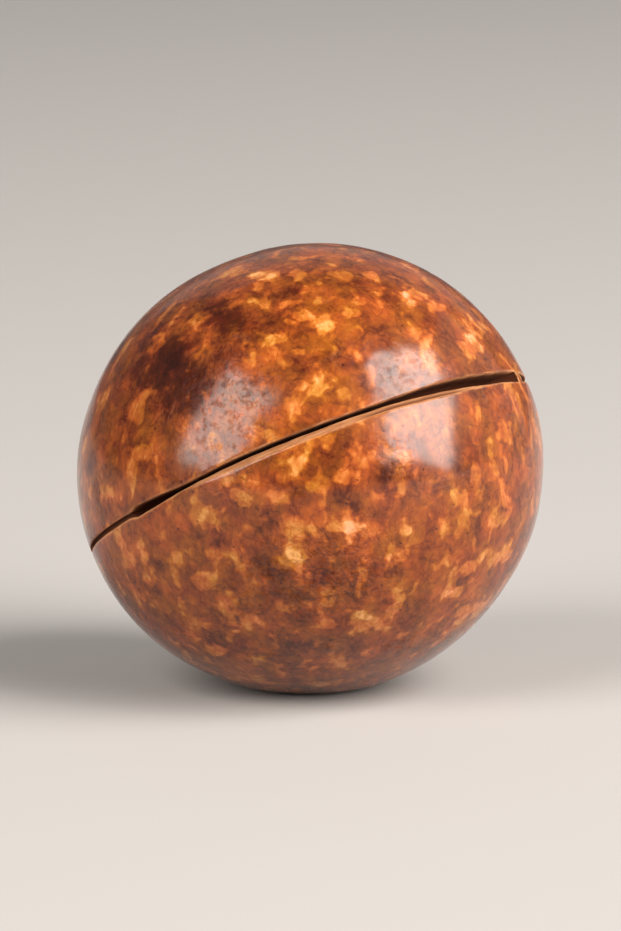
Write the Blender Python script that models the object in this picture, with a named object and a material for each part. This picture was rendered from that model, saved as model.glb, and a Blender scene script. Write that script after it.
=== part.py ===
"""A macadamia nut in its shell, sawn part of the way round so that a key can open it.

Run it with blender --background --python part.py, or from Blender's text editor.
Lengths are in metres and +Z is up. The front is -Y. The origin is the middle of the flat scar at the
stalk end, which the nut rests on.
"""

from dataclasses import dataclass
from math import atan2, radians, sqrt

import bmesh
import bpy
from mathutils import Matrix, Vector

NODE_NAME = "macadamia_nut"

# The shell is nearly a sphere. Its longest axis leans up towards +X, its shortest crosses that one.
MEAN_RADIUS = 0.0123
LONG_RATIO = 1.022
DEEP_RATIO = 0.995
SHORT_RATIO = 0.979
LONG_AXIS_RISE = radians(20.0)
FACETS_ROUND = 64
FACETS_POLE_TO_POLE = 32

# The flat, round scar where the stalk was.
SCAR_DIAMETER = 0.0058

# The saw cut lies in one plane, almost through the nut's middle. It climbs towards +X and towards the front.
CUT_RISE = radians(21.1)
CUT_TIP = radians(18.2)
CUT_HEIGHT = 0.00011

# The band either side of the cut's plane whose faces take the outlines of the grooves.
TRACK_REACH = 0.0018

# The shell's finish.
SHELL_COLOUR = (0.36, 0.12, 0.035, 1.0)
SHELL_ROUGHNESS = 0.38
SHARP_EDGE = radians(9.0)


@dataclass(frozen=True)
class Groove:
    """A stretch of the saw's track round the nut.

    Angles run in the cut's plane, from 0 at the front, positive towards +X.
    """

    start: float
    end: float
    width: float
    depth: float


# The cut itself goes through the shell's wall. Past a bridge of uncut shell at its right-hand end, and
# straight on from its left-hand end, the blade only scored the surface.
GROOVES = (
    Groove(start=radians(-53.5), end=radians(71.0), width=0.00090, depth=0.00230),
    Groove(start=radians(-94.0), end=radians(-53.5), width=0.00055, depth=0.00025),
    Groove(start=radians(74.5), end=radians(94.0), width=0.00055, depth=0.00025),
)


def clear_scene() -> None:
    """Remove every object that the file opened with."""
    for thing in list(bpy.data.objects):
        bpy.data.objects.remove(thing, do_unlink=True)


def cut_frame() -> Matrix:
    """Return the cut's own frame: +Z is its normal, -Y faces the front and +X the right."""
    turn = Matrix.Rotation(-CUT_TIP, 4, "X") @ Matrix.Rotation(-CUT_RISE, 4, "Y")
    return turn @ Matrix.Translation((0.0, 0.0, CUT_HEIGHT))


def body_shape() -> Matrix:
    """Return the matrix that turns a unit sphere into the nut's leaning ellipsoid."""
    lean = Matrix.Rotation(-LONG_AXIS_RISE, 4, "Y")
    ratios = Matrix.Diagonal((LONG_RATIO, DEEP_RATIO, SHORT_RATIO, 1.0))
    return Matrix.Scale(MEAN_RADIUS, 4) @ lean @ ratios @ lean.inverted()


def new_body() -> bmesh.types.BMesh:
    """Return the uncut ellipsoid, its facets ringed round the cut's normal."""
    body = bmesh.new()
    bmesh.ops.create_uvsphere(body, u_segments=FACETS_ROUND, v_segments=FACETS_POLE_TO_POLE, radius=1.0)
    bmesh.ops.rotate(body, matrix=cut_frame().to_3x3(), verts=body.verts)
    bmesh.ops.transform(body, matrix=body_shape(), verts=body.verts)
    return body


def scar_height() -> float:
    """Return the height, from the nut's centre, at which the body is as wide as the scar."""
    shape = body_shape().to_3x3()
    lowest = (shape @ shape.transposed()).col[2]
    half_height = sqrt(lowest.z)
    half_width = (shape @ Vector((0.0, 1.0, 0.0))).length
    return -half_height * sqrt(1.0 - (SCAR_DIAMETER / 2.0 / half_width) ** 2)


def flatten_base(body: bmesh.types.BMesh) -> None:
    """Slice the body's lowest part off level, and close it with the flat scar."""
    level = Vector((0.0, 0.0, scar_height()))
    everything = body.verts[:] + body.edges[:] + body.faces[:]
    bmesh.ops.bisect_plane(body, geom=everything, plane_co=level, plane_no=(0.0, 0.0, -1.0), clear_outer=True)
    rim = [edge for edge in body.edges if edge.is_boundary]
    bmesh.ops.edgeloop_fill(body, edges=rim)


def faces_on_track(body: bmesh.types.BMesh, to_cut: Matrix, groove: Groove, half_width: float) -> list:
    """Return the outer faces on one groove's track.

    Args:
        body: The nut so far.
        to_cut: The matrix from the nut's frame to the cut's.
        groove: The groove whose stretch is searched.
        half_width: How far a face's middle may lie from the cut's plane.

    Returns:
        The faces whose middle is on the track.
    """
    found = []
    for face in body.faces:
        middle = to_cut @ face.calc_center_median()
        angle = atan2(middle.x, -middle.y)
        if groove.start < angle < groove.end and abs(middle.z) < half_width:
            found.append(face)
    return found


def slice_faces(body: bmesh.types.BMesh, faces: list, point: Vector, normal: Vector) -> None:
    """Cut new edges across some faces, where a plane crosses them.

    Args:
        body: The nut so far.
        faces: The faces to cut.
        point: A point on the plane.
        normal: The plane's normal.
    """
    edges = {edge for face in faces for edge in face.edges}
    verts = {vert for face in faces for vert in face.verts}
    bmesh.ops.bisect_plane(body, geom=[*faces, *edges, *verts], plane_co=point, plane_no=normal)


def saw(body: bmesh.types.BMesh, groove: Groove) -> None:
    """Saw one groove: outline its mouth on the surface, then push that strip inwards.

    Args:
        body: The nut so far.
        groove: The groove to saw.
    """
    frame = cut_frame()
    to_cut = frame.inverted()
    normal = frame.to_3x3().col[2]
    half_width = groove.width / 2.0
    margin = radians(360.0 / FACETS_ROUND)
    wide = Groove(groove.start - margin, groove.end + margin, groove.width, groove.depth)

    for side in (-half_width, half_width):
        near = faces_on_track(body, to_cut, wide, TRACK_REACH)
        slice_faces(body, near, frame @ Vector((0.0, 0.0, side)), normal)
    for angle in (groove.start, groove.end):
        strip = faces_on_track(body, to_cut, wide, half_width)
        across = frame.to_3x3() @ (Matrix.Rotation(angle, 3, "Z") @ Vector((1.0, 0.0, 0.0)))
        slice_faces(body, strip, frame.translation, across)

    mouth = faces_on_track(body, to_cut, groove, half_width)
    pushed = bmesh.ops.extrude_face_region(body, geom=mouth)
    bmesh.ops.delete(body, geom=mouth, context="FACES_ONLY")
    for vert in pushed["geom"]:
        if isinstance(vert, bmesh.types.BMVert):
            place = to_cut @ vert.co
            inwards = -Vector((place.x, place.y, 0.0)).normalized()
            vert.co = frame @ (place + inwards * groove.depth)


def centre_on_scar(body: bmesh.types.BMesh) -> None:
    """Move the nut so that the middle of its flat scar is the origin."""
    scar = min(body.faces, key=lambda face: face.calc_center_median().z)
    bmesh.ops.translate(body, verts=body.verts, vec=-scar.calc_center_median_weighted())


def shell_material() -> bpy.types.Material:
    """Return the brown, satin finish of the polished shell."""
    finish = bpy.data.materials.new("shell")
    finish.use_nodes = True
    surface = finish.node_tree.nodes["Principled BSDF"]
    surface.inputs["Base Color"].default_value = SHELL_COLOUR
    surface.inputs["Roughness"].default_value = SHELL_ROUGHNESS
    surface.inputs["Metallic"].default_value = 0.0
    return finish


def build_nut() -> bpy.types.Object:
    """Model the nut and link it to the scene.

    Returns:
        The nut's object, at the origin.
    """
    body = new_body()
    flatten_base(body)
    for groove in GROOVES:
        saw(body, groove)
    centre_on_scar(body)
    bmesh.ops.triangulate(body, faces=body.faces)

    mesh = bpy.data.meshes.new(NODE_NAME)
    body.to_mesh(mesh)
    body.free()
    mesh.shade_smooth()
    mesh.set_sharp_from_angle(angle=SHARP_EDGE)
    mesh.materials.append(shell_material())
    nut = bpy.data.objects.new(NODE_NAME, mesh)
    bpy.context.scene.collection.objects.link(nut)
    return nut


clear_scene()
build_nut()
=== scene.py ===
"""The finished look of a macadamia nut in its shell: mottled, polished, and sawn part of the way round.

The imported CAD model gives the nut's place and size. This script replaces its plain solid with a finely
modelled shell, dresses it, and stands it on a pale floor in soft studio light.

Lengths are in metres, except where a name or a comment says millimetres. +Z is up and -Y is the front.
"""

import logging
from dataclasses import dataclass, field
from enum import Enum, IntEnum
from functools import cache
from math import asin, cos, exp, pi, radians, sin, sqrt

import bmesh
import bpy
from mathutils import Matrix, Quaternion, Vector, noise


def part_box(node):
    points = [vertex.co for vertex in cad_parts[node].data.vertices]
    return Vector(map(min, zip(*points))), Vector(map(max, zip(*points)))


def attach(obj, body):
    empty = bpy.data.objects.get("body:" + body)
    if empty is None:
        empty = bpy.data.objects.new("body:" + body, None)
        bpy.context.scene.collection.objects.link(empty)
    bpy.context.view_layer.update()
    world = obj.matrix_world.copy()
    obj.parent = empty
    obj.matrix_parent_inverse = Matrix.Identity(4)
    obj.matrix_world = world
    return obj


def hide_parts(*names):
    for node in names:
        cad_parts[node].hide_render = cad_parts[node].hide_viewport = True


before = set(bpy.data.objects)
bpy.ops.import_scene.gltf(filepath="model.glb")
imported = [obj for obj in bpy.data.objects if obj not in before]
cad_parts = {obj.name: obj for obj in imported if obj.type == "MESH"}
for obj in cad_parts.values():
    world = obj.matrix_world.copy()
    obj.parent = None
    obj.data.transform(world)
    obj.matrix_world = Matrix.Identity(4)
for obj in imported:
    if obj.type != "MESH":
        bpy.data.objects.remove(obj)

LOG = logging.getLogger("macadamia")
MM = 0.001
NUT_NODE = "macadamia_nut"

Colour = tuple[float, float, float, float]
Stops = tuple[tuple[float, Colour], ...]
WARM_WHITE = (1.0, 0.92, 0.86)

# How high one unit of a bump pattern stands, in metres.
BUMP_HEIGHT = 0.00003


class Slot(Enum):
    """The record's material slots."""

    SHELL = "shell"


class Skin(Enum):
    """The kinds of surface on the nut, numbered as its mesh's material slots."""

    POLISHED = 0
    SAWN = 1


class Ring(IntEnum):
    """The rings of vertices at the saw cut, numbered upwards. The other rings run on to the poles."""

    ABOVE_LIP = 2
    UPPER_LIP = 1
    KERF_MIDDLE = 0
    KERF_EDGE = -1
    LEDGE_FOOT = -2
    LOWER_LIP = -3
    BELOW_LIP = -4


# How bare of polish each ring is.
RAW_SHARES = {Ring.ABOVE_LIP: 0.5, Ring.UPPER_LIP: 1.0, Ring.LOWER_LIP: 1.0, Ring.BELOW_LIP: 0.6}

# How dark each ring is painted as painted shade, on the scale that reaches 1 at the kerf's floor.
PAINTED_SHADE_SHARES = {Ring.UPPER_LIP: 0.3, Ring.KERF_MIDDLE: 0.3, Ring.KERF_EDGE: 0.15, Ring.LEDGE_FOOT: 0.1}


class Mask(Enum):
    """The vertex attributes that say where a surface changes."""

    RAW_EDGE = "raw_edge"
    # Painted shade in and along the saw cut, darkest at the kerf's floor.
    CUT_DEPTH = "cut_depth"
    SCAR = "scar"
    EYE = "eye"
    PALE = "pale_marks"
    DARK = "dark_marks"
    WARM = "warm_marks"
    CRINKLED = "crinkled_marks"


def ease(value: float, low: float, high: float) -> float:
    """Rise smoothly from 0 at low to 1 at high.

    Args:
        value: Where to read the curve.
        low: The value at and below which it is 0.
        high: The value at and above which it is 1.

    Returns:
        The curve's height, from 0 to 1.
    """
    share = min(max((value - low) / (high - low), 0.0), 1.0)
    return share * share * (3.0 - 2.0 * share)


def mix(share: float, low: float, high: float) -> float:
    """Return the value that lies a share of the way from low to high."""
    return low + (high - low) * share


def ripple(place: Vector, wavelength: float, seed: float) -> float:
    """Return smooth noise between about -1 and 1 at a place, both in millimetres."""
    return noise.noise(place / wavelength + Vector((seed, -seed, 2.0 * seed)))


# ---------------------------------------------------------------------------------------------------
# Shape
# ---------------------------------------------------------------------------------------------------


@dataclass(frozen=True)
class SawCut:
    """The saw's track round the nut, in millimetres.

    It lies in one plane. Angles run in that plane from the front, in degrees, positive towards +X.
    """

    rise: float = radians(21.1)
    tip: float = radians(18.2)
    height: float = 0.11
    left_tail: float = -94.0
    left_end: float = -53.5
    right_end: float = 71.0
    right_tail_start: float = 74.5
    right_tail: float = 95.0
    entry: float = 1.6
    depth: float = 2.3
    entry_share: float = 0.55
    tail_depth: float = 0.24
    shallowest: float = 0.05

    def turn(self) -> Matrix:
        """Return the rotation from the cut's frame, whose Z is the plane's normal, to the nut's."""
        return (Matrix.Rotation(-self.tip, 4, "X") @ Matrix.Rotation(-self.rise, 4, "Y")).to_3x3()

    @cache
    def depth_at(self, angle: float) -> float:
        """Work out how deep the saw went.

        Args:
            angle: The angle round the cut.

        Returns:
            The depth there.
        """
        if angle < self.left_end:
            tail = self.tail_depth * ease(angle, self.left_tail, self.left_tail + 14.0)
            opened = ease(angle, self.left_end - self.entry, self.left_end)
            return mix(opened, tail, self.entry_share * self.depth)
        if angle < self.right_end:
            return self.depth * mix(ease(angle, self.left_end, self.left_end + 9.0), self.entry_share, 1.0)
        if angle < self.right_tail_start:
            return 0.0
        return 1.6 * self.tail_depth * (1.0 - ease(angle, self.right_tail_start + 5.0, self.right_tail))

    @cache
    def touched_at(self, angle: float) -> float:
        """Tell where the saw touched the shell: everywhere but the bridge and beyond the tails.

        Args:
            angle: The angle round the cut.

        Returns:
            1 where it touched, easing to 0 where it didn't.
        """
        bridge = ease(angle, self.right_end, self.right_end + 0.9)
        bridge *= 1.0 - ease(angle, self.right_tail_start - 0.9, self.right_tail_start)
        ends = ease(angle, self.left_tail - 2.0, self.left_tail + 2.0)
        ends *= 1.0 - ease(angle, self.right_tail - 3.0, self.right_tail)
        return ends * (1.0 - bridge)

    @cache
    def kerf_at(self, angle: float) -> float:
        """Work out the width of the deep, dark part of the cut.

        Args:
            angle: The angle round the cut.

        Returns:
            The width there.
        """
        left = mix(ease(angle, self.left_end - self.entry, self.left_end + self.entry), 0.26, 0.54)
        middle = mix(ease(angle, -50.0, -32.0), left, 0.23)
        right = mix(ease(angle, 15.0, 52.0), middle, 0.60)
        return mix(ease(angle, self.right_end + 1.0, self.right_tail_start + 4.0), right, 0.4)

    @cache
    def ledge_at(self, angle: float) -> float:
        """Return the width of the bare ledge along the lower lip at an angle."""
        return 0.03 + 0.29 * ease(angle, -38.0, -14.0) * (1.0 - ease(angle, 34.0, 56.0))

    @cache
    def foot_shade_at(self, angle: float) -> float:
        """Return how dark the painted shade makes the foot of the lower lip at an angle."""
        return 0.85 * ease(angle, 8.0, 18.0) * (1.0 - ease(angle, 40.0, 50.0))


@dataclass(frozen=True)
class Mark:
    """One mark on the nut's face, in millimetres, as seen from the front and a little above.

    Its place runs from the middle of the face, and its turn is in degrees, anticlockwise from level.
    """

    across: float
    up: float
    length: float
    width: float
    turn: float = 0.0
    strength: float = 1.0


@dataclass(frozen=True)
class Markings:
    """The largest marks on the nut's face, which the finish adds to its random ones.

    Pale and dark marks change the tone, warm ones the hue, and crinkled ones the relief and the gloss.
    The least squared depth keeps a mark at the rim on the nut.
    """

    view_rise: float = radians(10.0)
    least_squared_depth: float = 0.5
    pale: tuple[Mark, ...] = (
        Mark(-0.4, 8.1, 2.0, 1.2, 15.0, 1.3),
        Mark(0.7, 7.4, 1.8, 1.5, -40.0, 1.3),
        Mark(-1.8, 6.9, 2.0, 1.1, 10.0),
        Mark(-2.6, 10.4, 2.8, 1.6, 35.0),
        Mark(-2.7, 8.9, 2.4, 1.5, 50.0, 0.8),
        Mark(-0.6, 10.4, 2.0, 1.8, 0.0),
        Mark(1.5, 10.3, 2.0, 1.6, 0.0, 0.8),
        Mark(3.1, 10.2, 1.8, 1.6, 0.0, 0.9),
        Mark(0.4, 9.0, 1.3, 1.1, 0.0, 0.7),
        Mark(2.7, 8.9, 1.8, 1.5, 10.0, 0.7),
        Mark(5.4, 9.1, 2.8, 1.6, -40.0),
        Mark(6.6, 8.5, 2.2, 1.3, -45.0),
        Mark(8.3, 6.4, 3.2, 1.9, -60.0),
        Mark(0.4, 4.5, 2.2, 3.0, 20.0, 0.6),
        Mark(-0.7, 6.2, 1.3, 1.0, 0.0, 0.8),
        Mark(10.1, 1.9, 2.3, 2.4, 80.0),
        Mark(-0.8, 0.3, 2.2, 2.2, 30.0, 0.8),
        Mark(-1.6, -1.5, 2.6, 1.5, 5.0, 0.8),
        Mark(1.9, -0.2, 2.2, 1.6, 0.0, 0.8),
        Mark(-3.6, -1.4, 2.0, 1.6, 10.0, 0.7),
        Mark(-5.3, -2.5, 2.4, 1.7, -20.0, 0.9),
        Mark(-5.5, -5.9, 2.6, 2.0, -15.0, 1.1),
        Mark(-1.0, -4.4, 2.4, 1.8, 10.0, 0.9),
        Mark(1.7, -3.0, 3.2, 1.2, 5.0),
        Mark(4.7, -4.3, 2.2, 1.7, 0.0, 0.8),
        Mark(8.4, -5.2, 3.0, 1.5, 40.0),
        Mark(0.7, -8.1, 1.9, 1.5, 0.0),
        Mark(2.6, -7.7, 2.2, 1.0, 25.0, 0.8),
        Mark(-4.9, -9.6, 2.6, 2.0, -20.0, 0.9),
        Mark(7.8, -6.6, 1.8, 1.4, 30.0, 0.8),
        Mark(-8.6, -5.6, 3.0, 1.2, -60.0, 0.6),
    )
    dark: tuple[Mark, ...] = (
        Mark(-1.2, 9.5, 5.4, 2.8, 5.0, 0.6),
        Mark(-2.8, 7.8, 3.6, 2.4, 0.0, 0.5),
        Mark(1.4, 5.9, 3.6, 2.6, 30.0, 0.5),
        Mark(-4.8, 8.2, 8.0, 4.2, 52.0, 0.9),
        Mark(-7.4, 5.4, 12.0, 6.0, 60.0, 1.1),
        Mark(2.0, -1.7, 4.4, 2.8, 0.0, 0.55),
        Mark(-1.7, -2.9, 4.0, 2.4, 0.0, 0.55),
        Mark(-2.0, -5.3, 3.4, 3.0, 0.0, 0.55),
        Mark(-4.8, -4.2, 4.6, 3.0, -10.0, 0.5),
        Mark(3.2, -5.3, 3.4, 3.2, 30.0, 0.55),
        Mark(-0.4, -9.3, 6.6, 3.4, 0.0, 0.5),
        Mark(3.9, -0.8, 5.0, 1.8, 85.0, 0.6),
        Mark(3.6, -6.9, 3.0, 2.6, 0.0, 0.5),
    )
    warm: tuple[Mark, ...] = (
        Mark(0.3, 0.8, 5.0, 13.0),
        Mark(0.5, 7.0, 14.0, 8.0),
        Mark(9.5, 1.0, 5.0, 10.0, 0.0, 0.7),
    )
    crinkled: tuple[Mark, ...] = (
        Mark(-4.3, 3.2, 8.0, 10.0, -30.0, 1.0),
        Mark(4.3, 0.6, 3.4, 5.0, -20.0, 0.8),
        Mark(0.5, -5.5, 14.0, 8.0, 0.0, 0.7),
    )

    def paint(self, skin: bmesh.types.BMesh, radius: float) -> None:
        """Write every kind of mark into its mask.

        Args:
            skin: The nut's skin, centred on the nut, in millimetres.
            radius: The nut's mean radius.
        """
        kinds = {
            Mask.PALE: self.pale,
            Mask.DARK: self.dark,
            Mask.WARM: self.warm,
            Mask.CRINKLED: self.crinkled,
        }
        for mask, marks in kinds.items():
            layer = skin.verts.layers.float.new(mask.value)
            for mark in marks:
                self.paint_mark(skin, mark, layer, radius)

    def paint_mark(
        self,
        skin: bmesh.types.BMesh,
        mark: Mark,
        layer: bmesh.types.BMLayerItem,
        radius: float,
    ) -> None:
        """Write one mark: its strength at its middle, falling to 0 at its edge.

        Args:
            skin: The nut's skin, centred on the nut, in millimetres.
            mark: The mark to write.
            layer: The mask that it goes into, which keeps the larger value where marks overlap.
            radius: The nut's mean radius.
        """
        view = Matrix.Rotation(-self.view_rise, 3, "X")
        depth = sqrt(max(radius ** 2 - mark.across ** 2 - mark.up ** 2, self.least_squared_depth))
        middle = (view @ Vector((mark.across, -depth, mark.up))).normalized()
        level = (view @ Vector((1.0, 0.0, 0.0))).cross(middle).cross(middle).normalized() * -1.0
        long_way = Matrix.Rotation(-radians(mark.turn), 3, middle) @ level
        short_way = middle.cross(long_way)
        near = cos(max(mark.length, mark.width) / radius)
        for vert in skin.verts:
            way = vert.co.normalized()
            if way.dot(middle) > near:
                along = 2.0 * radius * way.dot(long_way) / mark.length
                beside = 2.0 * radius * way.dot(short_way) / mark.width
                value = mark.strength * (1.0 - sqrt(along * along + beside * beside))
                vert[layer] = max(vert[layer], value)


@dataclass
class NutShell:
    """The macadamia's shell, modelled in one piece and dressed.

    Low and high are the corners of the CAD node's box, in metres, and give the centre and the scale. All
    other sizes are in millimetres, in a frame centred on the nut.
    """

    low: Vector
    high: Vector
    cut: SawCut = field(default_factory=SawCut)
    markings: Markings = field(default_factory=Markings)
    segments: int = 512
    rings: int = 178
    long_ratio: float = 1.022
    deep_ratio: float = 0.995
    short_ratio: float = 0.979
    long_axis_rise: float = radians(20.0)
    finest_gap: float = 0.035
    coarsest_gap: float = 0.24
    gap_growth: float = 7.0
    waver: float = 0.02
    wavering_rings: int = 12
    saw_steps: tuple[float, ...] = (0.2, 0.55, 1.0)
    saw_chatter: float = 0.02
    # How dark the kerf's painted shade is at its mouth, on the scale that reaches 1 at its floor.
    kerf_shade: float = 0.55
    sawn_from: float = 0.4
    base_height: float = 0.35
    base_softness: float = 0.06
    scar_dish: float = 0.10
    scar_pits: float = 0.05
    eye_direction: Vector = field(default_factory=lambda: Vector((0.12, 0.48, 0.87)).normalized())

    def __post_init__(self) -> None:
        """Work out the mean radius and the centre from the node's box."""
        rise = self.long_axis_rise
        half_width = sqrt((self.long_ratio * cos(rise)) ** 2 + (self.short_ratio * sin(rise)) ** 2)
        half_height = sqrt((self.long_ratio * sin(rise)) ** 2 + (self.short_ratio * cos(rise)) ** 2)
        self.radius = (self.high.x - self.low.x) / 2.0 / half_width / MM
        middle = (self.low + self.high) / 2.0
        top = self.high.z / MM - self.radius * half_height
        self.centre = Vector((middle.x / MM, middle.y / MM, top))

    def body_radius(self, way: Vector) -> float:
        """Measure the smooth ellipsoid.

        Args:
            way: A unit vector from the nut's centre.

        Returns:
            The radius that way.
        """
        rise = self.long_axis_rise
        along = way.x * cos(rise) + way.z * sin(rise)
        across = -way.x * sin(rise) + way.z * cos(rise)
        stretch = (along / self.long_ratio) ** 2 + (way.y / self.deep_ratio) ** 2
        return self.radius / sqrt(stretch + (across / self.short_ratio) ** 2)

    def relief(self, place: Vector) -> float:
        """Shape the lumps, dents and crinkles that the body grew with.

        Args:
            place: A place on the smooth body.

        Returns:
            How far the surface stands out there.
        """
        lumps = 0.09 * ripple(place, 7.0, 3.1) + 0.035 * ripple(place, 3.2, 7.7)
        dents = 0.012 * ripple(place, 1.6, 1.9) + 0.005 * ripple(place, 0.8, 5.3)
        crease = 1.0 - abs(ripple(place, 1.25, 9.2))
        crinkle = -0.016 * crease ** 6 * ease(ripple(place, 4.2, 4.4), 0.0, 0.45)
        return lumps + dents + crinkle

    def eye_relief(self, place: Vector) -> float:
        """Return the raised tip and tiny pit of the eye at the nut's upper end."""
        distance = (place - self.eye_direction * place.length).length
        return 0.24 * exp(-((distance / 0.75) ** 2)) - 0.12 * exp(-((distance / 0.22) ** 2))

    def seam_relief(self, place: Vector) -> float:
        """Shape the faint groove of the seam, which runs down the back from the eye to the scar.

        Args:
            place: A place on the smooth body.

        Returns:
            How far the surface stands out there.
        """
        if place.y < 0.0:
            return 0.0
        side = place.x - 0.18 * place.z + 0.5 * ripple(place, 5.0, 6.1)
        fade = ease(place.y, 2.0, 6.0)
        return -0.05 * fade * exp(-((side / 0.28) ** 2))

    def latitude(self, ring: int, angle: float) -> float:
        """Return the latitude of a ring above the cut's plane.

        Args:
            ring: The ring's number: one of Ring at the cut, and on to the poles beyond it.
            angle: The angle round the cut in degrees.

        Returns:
            The latitude in radians.
        """
        kerf, ledge = self.cut.kerf_at(angle), self.cut.ledge_at(angle)
        lip = (kerf + ledge) / 2.0
        heights = {
            Ring.UPPER_LIP: lip,
            Ring.KERF_MIDDLE: lip - kerf / 2.0,
            Ring.KERF_EDGE: lip - kerf,
            Ring.LEDGE_FOOT: -lip + 0.3 * ledge,
            Ring.LOWER_LIP: -lip,
        }
        if ring in heights:
            return asin((heights[ring] + self.cut.height) / self.radius)
        side = 1 if ring > 0 else -1
        first = Ring.UPPER_LIP if side > 0 else -Ring.LOWER_LIP
        steps, step = self.rings // 2 - first, abs(ring) - first
        start = asin((side * lip + self.cut.height) / self.radius)
        share = self.spread(step) / self.spread(steps)
        return start + (side * pi / 2.0 - start) * share

    @staticmethod
    @cache
    def gap_sum(step: int, finest: float, coarsest: float, growth: float) -> float:
        """Return how far a ring lies from its lip when the gaps widen step by step."""
        return coarsest * step - (coarsest - finest) * growth * (1.0 - exp(-step / growth))

    def spread(self, step: int) -> float:
        """Return how far a ring lies from its lip."""
        return self.gap_sum(step, self.finest_gap, self.coarsest_gap, self.gap_growth)

    def lip_drop(self, ring: int, angle: float) -> float:
        """Round the cut's lips, and set the ledge lower.

        Args:
            ring: The ring's number, as in latitude.
            angle: The angle round the cut in degrees.

        Returns:
            How far the ring sinks there.
        """
        ledge = ease(self.cut.ledge_at(angle), 0.05, 0.35)
        drops = {
            Ring.ABOVE_LIP: 0.008,
            Ring.UPPER_LIP: 0.035,
            Ring.KERF_EDGE: mix(ledge, 0.04, 0.26),
            Ring.LEDGE_FOOT: mix(ledge, 0.045, 0.20),
            Ring.LOWER_LIP: 0.03,
            Ring.BELOW_LIP: 0.006,
        }
        return drops.get(ring, 0.0) * self.cut.touched_at(angle)

    def form(self) -> bmesh.types.BMesh:
        """Form the shell's skin before the saw goes in.

        Returns:
            The closed skin, ringed round the cut and centred on the nut.
        """
        skin = bmesh.new()
        bmesh.ops.create_grid(skin, x_segments=self.segments, y_segments=self.rings, size=1.0)
        ring_of = skin.verts.layers.int.new("ring")
        angle_of = skin.verts.layers.float.new("angle")
        raw_edge = skin.verts.layers.float.new(Mask.RAW_EDGE.value)
        # depth here holds the cut's painted shade, not a depth.
        depth = skin.verts.layers.float.new(Mask.CUT_DEPTH.value)
        turn = self.cut.turn()
        for vert in skin.verts:
            vert[ring_of] = ring = round(vert.co.y * self.rings / 2)
            vert[angle_of] = degrees = round(vert.co.x * 180.0, 3)
            angle = radians(degrees)
            touched = self.cut.touched_at(degrees)
            latitude = self.latitude(ring, degrees)
            flat = Vector((sin(angle) * cos(latitude), -cos(angle) * cos(latitude), sin(latitude)))
            way = turn @ flat
            place = way * self.body_radius(way)
            if abs(ring) < self.wavering_rings:
                place += turn.col[2] * (self.waver * touched * ripple(place, 0.9, 8.0 + ring))
            out = self.relief(place) + self.eye_relief(place) + self.seam_relief(place)
            vert.co = place + way * (out - self.lip_drop(ring, degrees))
            vert[raw_edge] = touched * RAW_SHARES.get(ring, 0.0)
            # Painted shade under the upper lip, in the kerf and along the ledge's foot.
            shade = PAINTED_SHADE_SHARES.get(ring, 0.0)
            if ring == Ring.LEDGE_FOOT:
                shade = max(self.cut.foot_shade_at(degrees), shade)
            vert[depth] = touched * shade
        bmesh.ops.remove_doubles(skin, verts=skin.verts, dist=self.finest_gap / 10.0)
        bmesh.ops.recalc_face_normals(skin, faces=skin.faces)
        return skin

    @staticmethod
    def span(skin: bmesh.types.BMesh, face: bmesh.types.BMFace) -> tuple[int, int, float]:
        """Tell where a face lies on the saw's track.

        Args:
            skin: The skin that the face belongs to.
            face: The face.

        Returns:
            Its lowest ring, its highest ring and its mean angle in degrees.
        """
        ring_of, angle_of = skin.verts.layers.int["ring"], skin.verts.layers.float["angle"]
        rings = [vert[ring_of] for vert in face.verts]
        return min(rings), max(rings), sum(vert[angle_of] for vert in face.verts) / len(rings)

    def saw(self, skin: bmesh.types.BMesh) -> None:
        """Push the kerf's strip of faces in, step by step, to the depth that the saw reached.

        Args:
            skin: The uncut skin.
        """
        angle_of = skin.verts.layers.float["angle"]
        # depth here holds the cut's painted shade, not a depth.
        depth = skin.verts.layers.float[Mask.CUT_DEPTH.value]
        turn = self.cut.turn()
        back = turn.transposed()
        strip = []
        for face in skin.faces:
            lowest, highest, angle = self.span(skin, face)
            in_kerf = lowest >= Ring.KERF_EDGE and highest <= Ring.UPPER_LIP
            if in_kerf and self.cut.depth_at(angle) > self.cut.shallowest:
                strip.append(face)
        done = 0.0
        for share in self.saw_steps:
            pushed = bmesh.ops.extrude_face_region(skin, geom=strip)["geom"]
            bmesh.ops.delete(skin, geom=strip, context="FACES_ONLY")
            strip = [item for item in pushed if isinstance(item, bmesh.types.BMFace)]
            for vert in (item for item in pushed if isinstance(item, bmesh.types.BMVert)):
                place = back @ vert.co
                inwards = -Vector((place.x, place.y, 0.0)).normalized()
                step = (share - done) * max(self.cut.depth_at(vert[angle_of]), self.cut.shallowest)
                chatter = Vector((0.0, 0.0, self.saw_chatter * ripple(place, 0.45, 2.2)))
                vert.co = turn @ (place + inwards * step + chatter)
                # Painted shade: the kerf's walls darken step by step towards its floor.
                vert[depth] = mix(share, self.kerf_shade, 1.0)
            done = share

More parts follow.
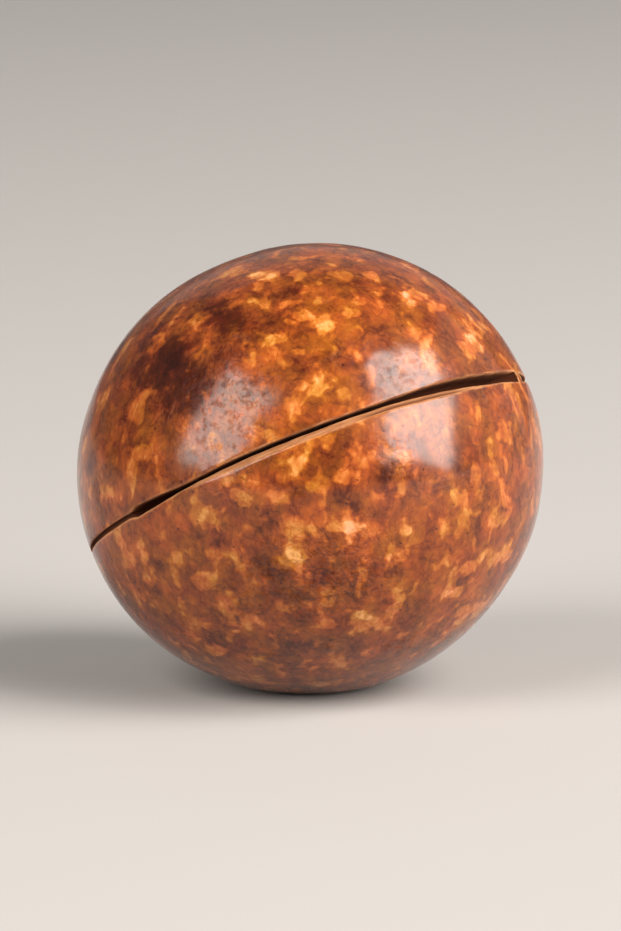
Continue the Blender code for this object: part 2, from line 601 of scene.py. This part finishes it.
    def rest_on_scar(self, skin: bmesh.types.BMesh) -> None:
        """Move the skin into the CAD frame and press its base into the rough, flat scar.

        Args:
            skin: The sawn skin, in millimetres round the nut's centre. It leaves in metres.
        """
        scar = skin.verts.layers.float.new(Mask.SCAR.value)
        eye = skin.verts.layers.float.new(Mask.EYE.value)
        for vert in skin.verts:
            from_centre = vert.co.copy()
            distance = (from_centre - self.eye_direction * from_centre.length).length
            vert[eye] = 1.0 - ease(distance + 0.25 * ripple(from_centre, 0.5, 1.1), 0.55, 0.95)
            place = from_centre + self.centre
            out = Vector((place.x, place.y)).length + 0.35 * ripple(place, 1.1, 4.9)
            vert[scar] = (1.0 - ease(out, 2.5, 3.1)) if place.z < 2.0 else 0.0
            if place.z < self.base_height:
                dish = self.scar_dish * (1.0 - ease(out, 1.6, 2.8))
                pits = self.scar_pits * (1.0 + ripple(place, 0.45, 6.6)) * (1.0 - ease(out, 2.2, 2.9))
                over = place.z - dish - pits
                place.z = dish + pits + (over + sqrt(over * over + self.base_softness ** 2)) / 2.0
            vert.co = place * MM
        lowest = min(vert.co.z for vert in skin.verts)
        bmesh.ops.translate(skin, verts=skin.verts, vec=(0.0, 0.0, -lowest))

    def mark_sawn(self, skin: bmesh.types.BMesh) -> None:
        """Give the ledge, the kerf's walls and its floor the sawn finish.

        Args:
            skin: The sawn skin.
        """
        for face in skin.faces:
            lowest, highest, angle = self.span(skin, face)
            in_cut = lowest >= Ring.LOWER_LIP and highest <= Ring.UPPER_LIP
            if in_cut and self.cut.touched_at(angle) > self.sawn_from:
                face.material_index = Skin.SAWN.value

    def build(self) -> bpy.types.Object:
        """Model and dress the shell.

        Returns:
            The finished object, at the origin, with its place in its mesh.
        """
        skin = self.form()
        self.saw(skin)
        self.markings.paint(skin, self.radius)
        self.rest_on_scar(skin)
        self.mark_sawn(skin)
        mesh = bpy.data.meshes.new("macadamia_shell")
        skin.to_mesh(mesh)
        skin.free()
        mesh.shade_smooth()
        mesh.materials.append(PolishedShell().material())
        mesh.materials.append(SawnShell(self.cut).material())
        shell = bpy.data.objects.new("macadamia_shell", mesh)
        bpy.context.scene.collection.objects.link(shell)
        return shell


# ---------------------------------------------------------------------------------------------------
# Finishes
# ---------------------------------------------------------------------------------------------------


class Graph:
    """A material's node tree, with short calls for the nodes that the finishes share."""

    # The numbers of a Mix node's colour sockets, which share their names with its other sockets.
    COLOUR_BELOW = 6
    COLOUR_ABOVE = 7
    COLOUR_RESULT = 2

    def __init__(self, name: str) -> None:
        """Start a material with a Principled surface.

        Args:
            name: The material's name.
        """
        self.material = bpy.data.materials.new(name)
        self.material.use_nodes = True
        self.tree = self.material.node_tree
        self.surface = self.tree.nodes["Principled BSDF"]

    def add(self, kind: str, **settings: object) -> bpy.types.Node:
        """Add a node and set its properties.

        Args:
            kind: The node's type.
            settings: Its properties by name.

        Returns:
            The new node.
        """
        node = self.tree.nodes.new(kind)
        for name, value in settings.items():
            setattr(node, name, value)
        return node

    def put(self, socket: bpy.types.NodeSocket, value: object) -> None:
        """Link a socket to another, or set its value.

        Args:
            socket: The input to fill.
            value: An output to link, or a plain value.
        """
        if isinstance(value, bpy.types.NodeSocket):
            self.tree.links.new(value, socket)
        else:
            socket.default_value = value

    def feed(self, node: bpy.types.Node, **values: object) -> None:
        """Fill several of a node's inputs.

        Args:
            node: The node.
            values: What goes in, by the input's name in lower case with underscores for spaces.
        """
        for name, value in values.items():
            socket = next(s for s in node.inputs if s.enabled and s.name.lower().replace(" ", "_") == name)
            self.put(socket, value)

    def place(self) -> bpy.types.NodeSocket:
        """Return the piece's own coordinates in millimetres."""
        own = self.add("ShaderNodeTexCoord").outputs["Object"]
        return self.shift(own, scale=(1.0 / MM,) * 3)

    def shift(
        self,
        place: bpy.types.NodeSocket,
        offset: tuple[float, ...] = (0.0, 0.0, 0.0),
        turn: tuple[float, ...] = (0.0, 0.0, 0.0),
        scale: tuple[float, ...] = (1.0, 1.0, 1.0),
    ) -> bpy.types.NodeSocket:
        """Return coordinates scaled, turned and then moved.

        Args:
            place: The coordinates to change.
            offset: How far they move.
            turn: Their turn about each axis, in radians.
            scale: Their stretch along each axis.

        Returns:
            The changed coordinates.
        """
        mapping = self.add("ShaderNodeMapping")
        self.feed(mapping, vector=place, location=offset, rotation=turn, scale=scale)
        return mapping.outputs["Vector"]

    def clouds(
        self,
        place: bpy.types.NodeSocket,
        scale: float,
        detail: float = 2.0,
        roughness: float = 0.5,
    ) -> bpy.types.NodeSocket:
        """Return a noise pattern from 0 to 1.

        Args:
            place: The coordinates to read, in millimetres.
            scale: Waves per millimetre.
            detail: How many finer octaves are added.
            roughness: How strong the finer octaves are.

        Returns:
            The pattern's value.
        """
        node = self.add("ShaderNodeTexNoise")
        self.feed(node, vector=place, scale=scale, detail=detail, roughness=roughness)
        return node.outputs["Fac"]

    def patches(self, place: bpy.types.NodeSocket, scale: float, softness: float) -> bpy.types.NodeSocket:
        """Return a pattern of irregular patches, each with its own value from 0 to 1.

        Args:
            place: The coordinates to read, in millimetres.
            scale: Patches per millimetre.
            softness: How far the patches melt into each other, from 0 to 1.

        Returns:
            The pattern's value.
        """
        node = self.add("ShaderNodeTexVoronoi", feature="SMOOTH_F1")
        self.feed(node, vector=place, scale=scale, smoothness=softness)
        split = self.add("ShaderNodeSeparateColor")
        self.feed(split, color=node.outputs["Color"])
        return split.outputs["Red"]

    def dots(self, place: bpy.types.NodeSocket, scale: float, size: float) -> bpy.types.NodeSocket:
        """Return scattered dots of mixed sizes.

        Args:
            place: The coordinates to read, in millimetres.
            scale: Dots per millimetre.
            size: The largest dots' radius, as a share of the distance between dots.

        Returns:
            1 in the middle of a dot, falling to 0 at its rim.
        """
        node = self.add("ShaderNodeTexVoronoi")
        self.feed(node, vector=place, scale=scale)
        return self.band(node.outputs["Distance"], 0.0, size, 1.0, 0.0)

    def warp(self, place: bpy.types.NodeSocket, scale: float, amount: float) -> bpy.types.NodeSocket:
        """Return coordinates pushed about by noise.

        Args:
            place: The coordinates to stir, in millimetres.
            scale: Waves per millimetre of the noise.
            amount: The furthest push, in millimetres.

        Returns:
            The stirred coordinates.
        """
        node = self.add("ShaderNodeTexNoise")
        self.feed(node, vector=place, scale=scale, detail=2.0)
        centred = self.add("ShaderNodeVectorMath", operation="SUBTRACT")
        self.put(centred.inputs[0], node.outputs["Color"])
        centred.inputs[1].default_value = (0.5, 0.5, 0.5)
        pushed = self.add("ShaderNodeVectorMath", operation="MULTIPLY_ADD")
        self.put(pushed.inputs[0], centred.outputs["Vector"])
        pushed.inputs[1].default_value = (2.0 * amount,) * 3
        self.put(pushed.inputs[2], place)
        return pushed.outputs["Vector"]

    def band(
        self,
        value: bpy.types.NodeSocket,
        low: float,
        high: float,
        bottom: float = 0.0,
        top: float = 1.0,
    ) -> bpy.types.NodeSocket:
        """Ease from one value to another as a third rises.

        Args:
            value: The value that rises.
            low: Where it starts to count.
            high: Where it stops counting.
            bottom: The result at low.
            top: The result at high.

        Returns:
            The eased value.
        """
        node = self.add("ShaderNodeMapRange", interpolation_type="SMOOTHSTEP")
        self.feed(node, value=value, from_min=low, from_max=high, to_min=bottom, to_max=top)
        return node.outputs["Result"]

    def math(self, operation: str, first: object, second: object = 0.0) -> bpy.types.NodeSocket:
        """Work out a sum.

        Args:
            operation: The kind of sum.
            first: The first value, or an output.
            second: The second value, or an output.

        Returns:
            The result.
        """
        node = self.add("ShaderNodeMath", operation=operation)
        self.put(node.inputs[0], first)
        self.put(node.inputs[1], second)
        return node.outputs["Value"]

    def blend(self, amount: object, below: object, above: object, mode: str = "MIX") -> bpy.types.NodeSocket:
        """Blend two colours.

        Args:
            amount: How much of the upper colour shows, from 0 to 1.
            below: The lower colour, or an output.
            above: The upper colour, or an output.
            mode: The kind of blend.

        Returns:
            The blended colour.
        """
        node = self.add("ShaderNodeMix", data_type="RGBA", blend_type=mode)
        self.put(node.inputs["Factor"], amount)
        self.put(node.inputs[self.COLOUR_BELOW], below)
        self.put(node.inputs[self.COLOUR_ABOVE], above)
        return node.outputs[self.COLOUR_RESULT]

    def crossings(self, pattern: bpy.types.NodeSocket, width: float) -> bpy.types.NodeSocket:
        """Draw thin lines where a pattern crosses a half.

        Args:
            pattern: The pattern, from 0 to 1.
            width: How far from a half it is where a line ends.

        Returns:
            0 along the lines, rising to 1 beside them.
        """
        distance = self.math("ABSOLUTE", self.math("SUBTRACT", pattern, 0.5))
        return self.band(distance, 0.0, width)

    def total(self, start: float, *parts: tuple[bpy.types.NodeSocket, float]) -> bpy.types.NodeSocket:
        """Add weighted patterns to a start value, each by how far it is from a half.

        Args:
            start: The value where every pattern is a half.
            parts: The patterns and their weights.

        Returns:
            The sum.
        """
        return self.weigh(start - sum(weight for _, weight in parts) / 2.0, *parts)

    def weigh(self, start: float, *parts: tuple[bpy.types.NodeSocket, float]) -> bpy.types.NodeSocket:
        """Add weighted patterns to a start value.

        Args:
            start: The value where every pattern is 0.
            parts: The patterns and their weights.

        Returns:
            The sum.
        """
        result = start
        for value, weight in parts:
            node = self.add("ShaderNodeMath", operation="MULTIPLY_ADD")
            self.put(node.inputs[0], value)
            self.put(node.inputs[1], weight)
            self.put(node.inputs[2], result)
            result = node.outputs["Value"]
        return result

    def ramp(self, value: bpy.types.NodeSocket, stops: Stops) -> bpy.types.NodeSocket:
        """Turn a value into a colour.

        Args:
            value: The value to read.
            stops: The colours and the values at which they are pure, in rising order.

        Returns:
            The colour.
        """
        node = self.add("ShaderNodeValToRGB")
        self.put(node.inputs["Fac"], value)
        elements = node.color_ramp.elements
        while len(elements) < len(stops):
            elements.new(1.0)
        for element, (position, colour) in zip(elements, stops):
            element.position = position
            element.color = colour
        return node.outputs["Color"]

    def mask(self, mask: Mask) -> bpy.types.NodeSocket:
        """Return one of the mesh's masks."""
        return self.add("ShaderNodeAttribute", attribute_name=mask.value).outputs["Fac"]

    def bump(self, height: bpy.types.NodeSocket, distance: float) -> None:
        """Roughen the surface.

        Args:
            height: The height pattern.
            distance: How high one unit of it stands, in metres.
        """
        node = self.add("ShaderNodeBump")
        self.feed(node, height=height, distance=distance, strength=1.0)
        self.tree.links.new(node.outputs["Normal"], self.surface.inputs["Normal"])


@dataclass(frozen=True)
class PolishedShell:
    """The polished outside of the shell: chestnut brown, mottled with golden flecks and dark blotches."""

    tones: Stops = (
        (0.10, (0.018, 0.002, 0.000, 1.0)),
        (0.30, (0.062, 0.009, 0.001, 1.0)),
        (0.40, (0.140, 0.029, 0.004, 1.0)),
        (0.50, (0.245, 0.056, 0.006, 1.0)),
        (0.58, (0.335, 0.098, 0.013, 1.0)),
        (0.66, (0.440, 0.162, 0.038, 1.0)),
        (0.78, (0.640, 0.275, 0.110, 1.0)),
    )
    warm_tint: Colour = (1.0, 1.03, 0.66, 1.0)
    olive_tint: Colour = (0.90, 0.98, 0.82, 1.0)
    rosy_tint: Colour = (1.08, 0.97, 1.25, 1.0)
    raw: Colour = (0.46, 0.22, 0.10, 1.0)
    scar: Colour = (0.17, 0.11, 0.065, 1.0)
    eye: Colour = (0.62, 0.50, 0.35, 1.0)
    specular: float = 0.08
    coat_roughness: float = 0.16
    coat_index: float = 1.42

    def tone(self, graph: Graph, place: bpy.types.NodeSocket) -> bpy.types.NodeSocket:
        """Work out how light the shell is, from dark blotches at 0.1 to cream flecks at 0.78.

        Args:
            graph: The material's nodes.
            place: The coordinates to read, in millimetres.

        Returns:
            The tone, which the ramp turns into a colour.
        """
        upright = (1.0, 1.0, 0.72)
        swirled = graph.warp(place, 0.8, 0.30)
        stirred = graph.warp(swirled, 2.6, 0.12)
        zones = graph.clouds(graph.shift(stirred, (11.0, 3.0, 7.0)), 0.42, 2.0, 0.5)
        blotches = graph.patches(graph.shift(stirred, (4.0, 12.0, 9.0)), 0.60, 0.5)
        soft_flecks = graph.clouds(graph.shift(stirred, (1.0, 17.0, 5.0), scale=upright), 1.05, 3.0, 0.55)
        single_flecks = graph.clouds(graph.shift(swirled, (6.0, 2.0, 3.0), scale=upright), 0.95, 2.0, 0.5)
        firm_flecks = graph.total(0.5, (single_flecks, 1.0), (zones, 0.45))
        specks = graph.clouds(graph.shift(stirred, (2.0, 2.0, 8.0), scale=upright), 3.2, 3.0, 0.65)
        folds = graph.clouds(graph.shift(stirred, (8.0, 1.0, 4.0)), 0.9, 2.0, 0.55)
        veins = graph.crossings(folds, 0.045)
        ragged = graph.clouds(graph.shift(swirled, (3.0, 5.0, 2.0)), 1.4, 2.0, 0.5)
        pale = graph.total(0.5, (graph.mask(Mask.PALE), 1.0), (ragged, 1.7))
        dark = graph.total(0.5, (graph.mask(Mask.DARK), 1.0), (ragged, -1.0))
        return graph.total(
            0.482,
            (zones, 0.20),
            (blotches, 0.08),
            (soft_flecks, 0.32),
            (graph.band(firm_flecks, 0.53, 0.67), 0.15),
            (specks, 0.24),
            (veins, 0.05),
            (graph.band(pale, 0.22, 0.58, 0.5, 1.5), 0.15),
            (graph.band(dark, 0.10, 1.30, 0.5, 1.5), -0.30),
            (graph.band(self.pores(graph, place), 0.0, 1.0, 0.5, 1.5), -0.14),
        )

    @staticmethod
    def pores(graph: Graph, place: bpy.types.NodeSocket) -> bpy.types.NodeSocket:
        """Return 1 in the middle of each scattered pore, falling to 0 at its rim."""
        return graph.dots(graph.shift(graph.warp(place, 1.1, 0.25), (5.0, 8.0, 3.0)), 1.1, 0.12)

    def colour(self, graph: Graph, place: bpy.types.NodeSocket) -> bpy.types.NodeSocket:
        """Colour the polished skin.

        Args:
            graph: The material's nodes.
            place: The coordinates to read, in millimetres.

        Returns:
            The colour pattern.
        """
        colour = graph.ramp(self.tone(graph, place), self.tones)
        hue = graph.clouds(graph.shift(place, (13.0, 7.0, 1.0)), 0.7, 2.0)
        tint = graph.ramp(hue, ((0.38, self.olive_tint), (0.62, self.rosy_tint)))
        colour = graph.blend(1.0, colour, tint, "MULTIPLY")
        wide = graph.clouds(graph.shift(place, (4.0, 9.0, 2.0)), 0.2, 2.0)
        warm = graph.math("MAXIMUM", graph.band(wide, 0.45, 0.68, 0.0, 0.6), graph.mask(Mask.WARM))
        return graph.blend(warm, colour, graph.blend(1.0, colour, self.warm_tint, "MULTIPLY"))

    def crinkled(self, graph: Graph, place: bpy.types.NodeSocket) -> bpy.types.NodeSocket:
        """Tell where the skin is crinkled and pitted.

        Args:
            graph: The material's nodes.
            place: The coordinates to read, in millimetres.

        Returns:
            1 where it is crinkled, down to a tenth where it is smooth.
        """
        rough_patches = graph.clouds(graph.shift(place, (9.0, 4.0, 6.0)), 0.35, 2.0)
        scattered = graph.band(rough_patches, 0.5, 0.7, 0.0, 0.4)
        crinkled = graph.math("MAXIMUM", scattered, graph.mask(Mask.CRINKLED))
        return graph.band(crinkled, 0.0, 0.6, 0.10, 1.0)

    def relief(self, graph: Graph, place: bpy.types.NodeSocket) -> None:
        """Add the fine crinkles, the orange-peel ripple and the pores that the mesh is too coarse for.

        Args:
            graph: The material's nodes.
            place: The coordinates to read, in millimetres.
        """
        peel = graph.clouds(graph.shift(place, (6.0, 2.0, 9.0)), 1.2, 1.0, 0.5)
        skin = graph.clouds(graph.warp(place, 1.4, 0.2), 2.3, 2.0, 0.5)
        grain = graph.clouds(graph.shift(place, (7.0, 1.0, 3.0)), 6.5, 2.0, 0.5)
        folds = graph.clouds(graph.warp(place, 1.4, 0.3), 1.3, 2.0, 0.55)
        folded = graph.weigh(0.0, (skin, 6.0), (graph.crossings(folds, 0.09), 0.9))
        crinkles = graph.math("MULTIPLY", folded, self.crinkled(graph, place))
        pores = self.pores(graph, place)
        graph.bump(graph.weigh(0.0, (crinkles, 1.0), (peel, 0.4), (grain, 0.10), (pores, -1.6)), BUMP_HEIGHT)

    def material(self) -> bpy.types.Material:
        """Make the material.

        Returns:
            The finished material.
        """
        graph = Graph("polished_shell")
        place = graph.place()
        colour = self.colour(graph, place)
        raw, scar, eye = (graph.mask(mask) for mask in (Mask.RAW_EDGE, Mask.SCAR, Mask.EYE))
        chipped = graph.clouds(graph.shift(place, (1.0, 6.0, 2.0)), 1.2, 2.0)
        raw = graph.math("MULTIPLY", raw, graph.band(chipped, 0.35, 0.65, 0.15, 0.8))
        colour = graph.blend(raw, colour, self.raw)
        colour = graph.blend(scar, colour, self.scar)
        colour = graph.blend(eye, colour, self.eye)
        dull = graph.math("MAXIMUM", graph.math("MAXIMUM", scar, raw), eye)
        patchy = graph.clouds(graph.shift(place, (5.0, 5.0, 1.0)), 0.5, 3.0)
        rough = graph.band(patchy, 0.3, 0.7, 0.40, 0.55)
        rough = graph.math("MAXIMUM", rough, graph.math("MULTIPLY", dull, 0.85))
        grain = graph.clouds(graph.shift(graph.warp(place, 1.6, 0.2), (2.0, 9.0, 4.0)), 2.6, 3.0, 0.6)
        pitted = graph.math("MULTIPLY", graph.band(grain, 0.48, 0.62, 0.0, 0.6), self.crinkled(graph, place))
        coat = graph.math("SUBTRACT", 1.0, graph.math("MAXIMUM", dull, pitted))
        graph.feed(graph.surface, base_color=colour, roughness=rough, coat_weight=coat)
        graph.feed(graph.surface, specular_ior_level=self.specular, coat_roughness=self.coat_roughness)
        graph.feed(graph.surface, coat_ior=self.coat_index)
        self.relief(graph, place)
        return graph.material


@dataclass(frozen=True)
class SawnShell:
    """The raw shell inside the saw cut: dull tan with saw marks along it, with painted shade that darkens it
    with depth.
    """

    cut: SawCut
    tan: Colour = (0.36, 0.17, 0.075, 1.0)
    brown: Colour = (0.22, 0.085, 0.03, 1.0)
    # Painted shade: the colour that the kerf darkens to at its floor.
    deep: Colour = (0.075, 0.020, 0.007, 1.0)
    roughness: float = 0.85

    def material(self) -> bpy.types.Material:
        """Make the material.

        Returns:
            The finished material.
        """
        graph = Graph("sawn_shell")
        place = graph.place()
        turn = self.cut.turn().transposed().to_euler()
        along_cut = graph.shift(place, turn=tuple(turn))
        saw_marks = graph.clouds(graph.shift(along_cut, scale=(0.5, 0.5, 6.0)), 2.0, 3.0, 0.6)
        colour = graph.blend(graph.band(saw_marks, 0.3, 0.7), self.brown, self.tan)
        # Painted shade: the cut blends towards the deep colour as its painted shade mask rises.
        colour = graph.blend(graph.band(graph.mask(Mask.CUT_DEPTH), 0.25, 0.9), colour, self.deep)
        graph.feed(graph.surface, base_color=colour, roughness=self.roughness, specular_ior_level=0.2)
        graph.bump(saw_marks, BUMP_HEIGHT)
        return graph.material


@dataclass(frozen=True)
class PaleFloor:
    """The plain, pale studio floor."""

    colour: Colour = (0.37, 0.368, 0.362, 1.0)
    roughness: float = 0.7

    def material(self) -> bpy.types.Material:
        """Make the material.

        Returns:
            The finished material.
        """
        graph = Graph("pale_floor")
        graph.feed(graph.surface, base_color=self.colour, roughness=self.roughness, specular_ior_level=0.2)
        return graph.material


# ---------------------------------------------------------------------------------------------------
# Studio
# ---------------------------------------------------------------------------------------------------


@dataclass(frozen=True)
class Softbox:
    """A rectangular studio light that faces the nut.

    Its radiance is in watts per square metre and steradian, so its power follows its size.
    """

    name: str
    direction: tuple[float, float, float]
    distance: float
    width: float
    height: float
    radiance: float
    roll: float = 0.0
    colour: tuple[float, float, float] = WARM_WHITE

    def build(self, target: Vector) -> None:
        """Hang the light along its direction from the target, facing it.

        Args:
            target: The point that it faces.
        """
        data = bpy.data.lights.new(self.name, "AREA")
        data.shape = "RECTANGLE"
        data.size, data.size_y = self.width, self.height
        data.energy = self.radiance * pi * self.width * self.height
        data.color = self.colour
        lamp = bpy.data.objects.new(self.name, data)
        way = Vector(self.direction).normalized()
        lamp.location = target + way * self.distance
        facing = way.to_track_quat("Z", "Y") @ Quaternion((0.0, 0.0, 1.0), self.roll)
        lamp.rotation_euler = facing.to_euler()
        bpy.context.scene.collection.objects.link(lamp)


@dataclass
class Studio:
    """The pale floor, the soft light and the camera, set round the nut's box."""

    low: Vector
    high: Vector
    floor_half: float = 3.0
    room_colour: Colour = (0.84, 0.82, 0.80, 1.0)
    room_strength: float = 0.16
    elevation: float = radians(10.0)
    lens: float = 250.0
    sensor: float = 36.0
    frame_share: float = 0.75
    frame_aspect: float = 621.0 / 931.0
    clip: tuple[float, float] = (0.01, 10.0)
    lights: tuple[Softbox, ...] = (
        Softbox("softbox_right", (0.741, -0.385, 0.545), 0.70, 0.50, 0.70, 13.5, radians(-22.0)),
        Softbox("softbox_left", (-0.649, -0.561, 0.514), 0.70, 0.40, 0.62, 8.4, radians(-10.0)),
        Softbox("fill_right", (0.85, 0.35, 0.35), 0.90, 0.80, 0.70, 0.5),
        Softbox("fill_back", (0.05, 0.85, 0.52), 0.90, 0.90, 0.60, 0.25),
    )

    def build_floor(self) -> None:
        """Lay the floor under the nut."""
        surface = bmesh.new()
        bmesh.ops.create_grid(surface, x_segments=1, y_segments=1, size=self.floor_half)
        mesh = bpy.data.meshes.new("studio_floor")
        surface.to_mesh(mesh)
        surface.free()
        mesh.materials.append(PaleFloor().material())
        floor = bpy.data.objects.new("studio_floor", mesh)
        bpy.context.scene.collection.objects.link(floor)

    def build_room(self) -> None:
        """Fill the room with even light."""
        world = bpy.data.worlds.new("studio_room")
        world.use_nodes = True
        light = world.node_tree.nodes["Background"]
        light.inputs["Color"].default_value = self.room_colour
        light.inputs["Strength"].default_value = self.room_strength
        bpy.context.scene.world = world

    def build_camera(self) -> None:
        """Stand the camera in front of the nut, a little above it."""
        data = bpy.data.cameras.new("camera")
        data.lens = self.lens
        data.sensor_width = self.sensor
        width = self.high.x - self.low.x
        distance = width / self.frame_share / self.frame_aspect * self.lens / self.sensor
        data.clip_start, data.clip_end = self.clip
        camera = bpy.data.objects.new("camera", data)
        back = Vector((0.0, -cos(self.elevation), sin(self.elevation)))
        camera.location = (self.low + self.high) / 2.0 + back * distance
        camera.rotation_euler = back.to_track_quat("Z", "Y").to_euler()
        bpy.context.scene.collection.objects.link(camera)
        bpy.context.scene.camera = camera

    def build(self) -> None:
        """Set up the whole studio."""
        self.build_floor()
        self.build_room()
        target = (self.low + self.high) / 2.0
        for light in self.lights:
            light.build(target)
        self.build_camera()
        bpy.context.scene.view_settings.view_transform = "Standard"


def main() -> None:
    """Build the nut and the studio."""
    logging.basicConfig(level=logging.INFO, format="%(name)s: %(message)s")
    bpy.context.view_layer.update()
    low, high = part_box(NUT_NODE)
    shell = NutShell(Vector(low), Vector(high)).build()
    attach(shell, "root")
    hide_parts(NUT_NODE)
    LOG.info("%s: %d faces", shell.name, len(shell.data.polygons))
    Studio(Vector(low), Vector(high)).build()
    LOG.info("studio: floor, lights and camera")


if __name__ == "__main__":
    main()
